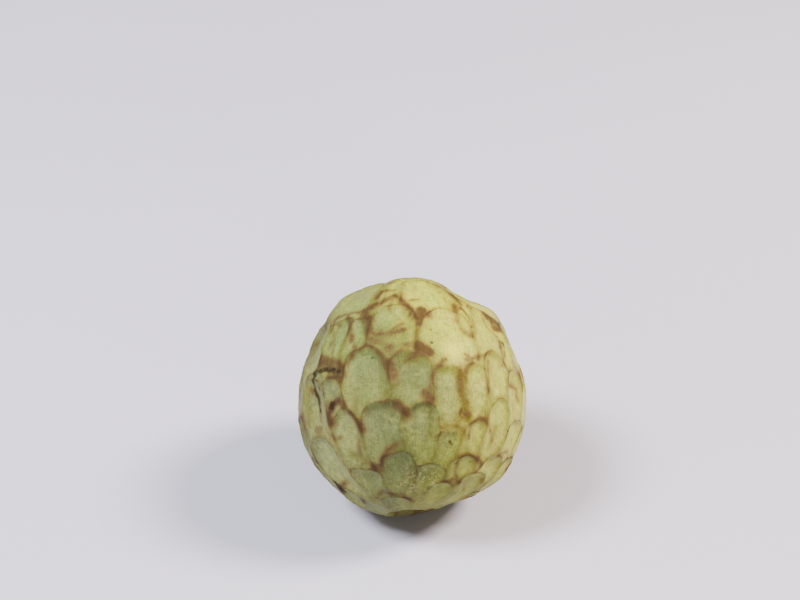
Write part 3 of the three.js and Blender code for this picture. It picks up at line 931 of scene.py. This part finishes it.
def paint_skin(tree):
    shader = tree.nodes["Principled BSDF"]
    skin = feel_of_skin(tree)
    colour = colour_mix(dots(tree, skin.at, *PALE_DOTS) * 0.45, scale_colour(skin), PALE_SPECK)
    colour = olive_stains_and_shade(skin, colour)

    # Tan where it is a little brown, russet where it is more so, and a darker core where it is most.
    brown = brownness(skin)
    haze_and_shade = skin.patchy * 1.2 + skin.mottle * 0.3 + skin.streaks * 0.5 + 0.9
    haze_and_shade = of_skin(tree, "haze_and_shade") * haze_and_shade.most(0)
    # The haze holds painted shade along the left edge, which darkens here too.
    colour = stained_or_shaded(haze_and_shade.most(brown.smooth(*TO_TAN)).least(1), colour, TAN_STAIN_AND_SHADE)
    brown = brown.most(haze_and_shade * HAZE_BROWN)
    russet = brown.smooth(*TO_RUSSET)
    colour = colour_mix(russet * 0.8, colour, vector_of(tree, *RUSSET_BROWN).scaled(skin.shade))
    colour = stained_or_shaded(brown.smooth(*TO_DARK) * 0.8, colour, RUSSET_STAIN)
    black = (of_skin(tree, "black") * (skin.ragged + 1)).smooth(*TO_BLACK)
    colour = colour_mix(black * 0.9, colour, BLACK_ROT)
    pores = dots(tree, skin.at, *PORES)
    colour = stained_or_shaded(pores * 0.8, colour, RUSSET_STAIN)
    finish_ends(skin, colour).feed(shader, "Base Color")

    rough = skin.mottle * 0.06 + russet * 0.2 + black * 0.3 - skin.ripe * 0.06 + SKIN_ROUGHNESS
    rough.feed(shader, "Roughness")
    shader.inputs["Specular IOR Level"].default_value = SKIN_GLOSS
    shader.inputs["Specular Tint"].default_value = GLOSS_TINT
    bumps = skin.mottle * 0.3 + skin.grain * 0.15 + skin.streaks * 0.1
    bumps = bumps + russet * (skin.mottle + skin.grain) * 0.3 - pores * 0.5
    bump = Wire.add(tree, "ShaderNodeBump", (), {"Height": bumps, "Strength": 0.9, "Distance": SKIN_BUMP})
    bump.feed(shader, "Normal")


paint_skin(skin_material.node_tree)


# ---------- The stalk ----------
# A short woody stub, cut off aslant, that stands in the hollow at the stem. Its bark is ridged and
# fibrous, and the cut shows pale wood with a darker ring and pith.

STALK_GAP = 0.3  # between its foot and the floor of the hollow
STALK_PROFILE = [  # radius and height over its foot, from the foot to the cut
    (3.4, 0), (3.7, 0.6), (3.4, 1.3), (2.8, 2.0), (2.6, 3.3), (2.7, 3.9), (2.4, 4.2),
]
STALK_SIDES = 120
BARK_RINGS = 48
CUT_RINGS = 16
RIDGES = 5
RIDGE_HEIGHT = 0.05  # share of the radius, as is that of the fibres
RIDGES_FULL = 2  # height over the foot from which the ridges are full
FIBRES = 31
FIBRE_HEIGHT = 0.012
FIBRE_SWAYS = 3
FIBRE_SWAY = 2
CUT_DISH = 0.25
CUT_SLOPE = 0.04  # rise of the cut per mm across, of the height


def turn_stalk():
    """Rings up the bark and inwards over the cut, which is dished a little and slopes."""
    radii, heights = zip(*STALK_PROFILE)
    bark_heights = np.linspace(0, heights[-1], BARK_RINGS)
    cut_radii = np.linspace(radii[-1], 0, CUT_RINGS + 1)[1:]
    ring_heights = np.concatenate([bark_heights, np.full(CUT_RINGS, heights[-1])])
    ring_radii = np.concatenate([np.interp(bark_heights, heights, radii), cut_radii])
    turn, height = np.meshgrid(np.linspace(0, 2 * math.pi, STALK_SIDES, endpoint=False), ring_heights)
    radius = np.repeat(ring_radii[:, None], STALK_SIDES, 1)
    on_bark = np.arange(len(ring_heights))[:, None] < BARK_RINGS
    ridges = RIDGE_HEIGHT * np.sin(RIDGES * turn) * np.minimum(1, height / RIDGES_FULL)
    sway = FIBRE_SWAY * np.sin(FIBRE_SWAYS * turn + height)
    fibres = FIBRE_HEIGHT * np.sin(FIBRES * turn + sway) * on_bark
    wide = radius * (1 + ridges + fibres)
    across, up = wide * np.cos(turn), wide * np.sin(turn)
    dished = CUT_DISH * (1 - (radius / radii[-1]) ** 2) * ~on_bark
    out = (height - dished) * (1 + CUT_SLOPE * across)
    places = np.stack([across, up, -(HOLLOW_FLOOR + STALK_GAP) - out], -1).reshape(-1, 3)
    sides = []
    for ring in range(len(ring_heights) - 1):
        for side in range(STALK_SIDES):
            near, far = ring * STALK_SIDES + side, ring * STALK_SIDES + (side + 1) % STALK_SIDES
            sides.append((near, near + STALK_SIDES, far + STALK_SIDES, far))
    foot = tuple(range(STALK_SIDES))
    lay = Matrix.Rotation(-math.radians(AXIS_TILT), 3, "X")
    mesh = bpy.data.meshes.new("stalk")
    mesh.from_pydata([(lay @ Vector(place) + MIDDLE) * MM for place in places], [], [foot, *sides])
    mesh.polygons.foreach_set("use_smooth", [True] * len(mesh.polygons))
    cut = ~on_bark * np.ones_like(turn)
    for name, values in (("turn", turn), ("height", height), ("radius", radius), ("cut", cut)):
        note(mesh, name, values.ravel())
    return put_in_scene("stalk", mesh)


BARK_BROWN = (0.115, 0.080, 0.042)
BARK_GREY = (0.210, 0.185, 0.120)
BARK_CREVICE = (0.030, 0.018, 0.010)
CUT_WOOD = (0.330, 0.230, 0.120)
CUT_RING = (0.130, 0.075, 0.035)
RING_REACH = (1.7, 2.3)  # radii between which the dark ring of the cut comes up
PITH_REACH = (0.3, 0.55)
CUT_LINES = 14  # how closely the fine rings of the cut follow one another
BARK_FIBRES = 7  # about as many round the stalk, as are the flecks
FIBRE_STRETCH = 0.35
BARK_FLECKS = 3
STALK_ROUGHNESS = 0.7
STALK_GLOSS = 0.25
STALK_BUMP = 0.25 * MM


def paint_stalk(tree):
    shader = tree.nodes["Principled BSDF"]
    turn, height, radius, cut = [of_skin(tree, name) for name in ("turn", "height", "radius", "cut")]
    around, beside = turn.math("COSINE"), turn.math("SINE")
    fibre_at = vector_of(tree, around * BARK_FIBRES, beside * BARK_FIBRES, height * FIBRE_STRETCH)
    fibre = noise(tree, fibre_at, 1, detail=4)
    fleck_at = vector_of(tree, around * BARK_FLECKS, beside * BARK_FLECKS, height)
    flecks = noise(tree, fleck_at, 1.3, detail=3)
    grain = noise(tree, vector_of(tree, around * radius, beside * radius, height), 4, detail=3)
    bark = colour_mix(flecks.smooth(0.4, 0.65), BARK_BROWN, BARK_GREY)
    bark = colour_mix(1 - fibre.smooth(0.3, 0.5), bark, BARK_CREVICE)
    rings = (radius * CUT_LINES + flecks * 5).math("SINE") * 0.5 + 0.5
    wood = colour_mix(rings * 0.4 + radius.smooth(*RING_REACH) * 0.6, CUT_WOOD, CUT_RING)
    wood = colour_mix(1 - radius.smooth(*PITH_REACH), wood, BARK_CREVICE)
    wood = colour_mix(grain.smooth(0.5, 0.8) * 0.5, wood, BARK_BROWN)
    colour_mix(cut, bark, wood).feed(shader, "Base Color")
    (flecks * 0.2 + STALK_ROUGHNESS).feed(shader, "Roughness")
    shader.inputs["Specular IOR Level"].default_value = STALK_GLOSS
    bumps = fibre * (1 - cut) + grain * 0.5 + rings * cut * 0.2
    bump = Wire.add(tree, "ShaderNodeBump", (), {"Height": bumps, "Strength": 0.8, "Distance": STALK_BUMP})
    bump.feed(shader, "Normal")


stalk = turn_stalk()
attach(stalk, "root")
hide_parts("stem_stub")
stalk_material = bpy.data.materials.new("dry stalk")
stalk_material.use_nodes = True
paint_stalk(stalk_material.node_tree)
stalk.data.materials.append(stalk_material)


# ---------- The table, the light and the camera ----------
# A wide pale matt table, one large soft light high on the right, a weaker one on the left, a faint one
# low in front, and a camera that looks down on the fruit from the front.

TABLE_REACH = 6
TABLE_GREY = (0.475, 0.462, 0.57)
TABLE_PALE = (0.495, 0.482, 0.595)
TABLE_CLOUDS = 2.5  # to the metre, as is the grain
TABLE_GRAIN = 900
TABLE_ROUGHNESS = 0.55
LIT_POINT = Vector((0, 0, 0.05))
ROOM_COLOUR = (0.96, 0.88, 0.8, 1)
ROOM_LIGHT = 0.24
CAMERA_PLACE = (0.0002, -0.66653, 0.534135)
CAMERA_PITCH = 33.1215  # degrees down
CAMERA_TURN = 0.468
LENS = 85  # millimetres, as is the sensor
SENSOR_WIDTH = 36

table_mesh = bpy.data.meshes.new("table")
corners = [(x * TABLE_REACH, y * TABLE_REACH, 0) for x, y in ((-1, -1), (1, -1), (1, 1), (-1, 1))]
table_mesh.from_pydata(corners, [], [(0, 1, 2, 3)])
floor = put_in_scene("table", table_mesh)
table_material = bpy.data.materials.new("pale table")
table_material.use_nodes = True
table_tree = table_material.node_tree
table_shader = table_tree.nodes["Principled BSDF"]
table_at = Wire.add(table_tree, "ShaderNodeTexCoord", (), (), "Object")
cloudy = noise(table_tree, table_at, TABLE_CLOUDS, detail=2).smooth(0.3, 0.7)
colour_mix(cloudy, TABLE_GREY, TABLE_PALE).feed(table_shader, "Base Color")
fine = noise(table_tree, table_at, TABLE_GRAIN, detail=2)
(fine * 0.1 + TABLE_ROUGHNESS).feed(table_shader, "Roughness")
table_mesh.materials.append(table_material)


def soft_light(name, place, size, power, colour):
    lamp = bpy.data.lights.new(name, "AREA")
    lamp.shape = "DISK"
    lamp.size = size
    lamp.energy = power
    lamp.color = colour
    light = put_in_scene(name, lamp)
    light.location = place
    light.rotation_euler = (LIT_POINT - Vector(place)).to_track_quat("-Z", "Y").to_euler()


soft_light("main light", place=(1.46, 0.1, 1.55), size=0.6, power=122, colour=(1, 0.88, 0.76))
soft_light("left light", place=(-1.1, -0.35, 1.65), size=0.7, power=98, colour=(0.9, 0.93, 0.94))
soft_light("front light", place=(0.2, -1.9, 0.5), size=1.2, power=13, colour=(1, 0.9, 0.74))
world = bpy.data.worlds.new("room")
bpy.context.scene.world = world
world.use_nodes = True
world.node_tree.nodes["Background"].inputs["Color"].default_value = ROOM_COLOUR
world.node_tree.nodes["Background"].inputs["Strength"].default_value = ROOM_LIGHT

camera_data = bpy.data.cameras.new("camera")
camera_data.lens = LENS
camera_data.sensor_width = SENSOR_WIDTH
camera = put_in_scene("camera", camera_data)
camera.location = CAMERA_PLACE
camera.rotation_euler = Euler((math.radians(90 - CAMERA_PITCH), 0, math.radians(CAMERA_TURN)))
bpy.context.scene.camera = camera
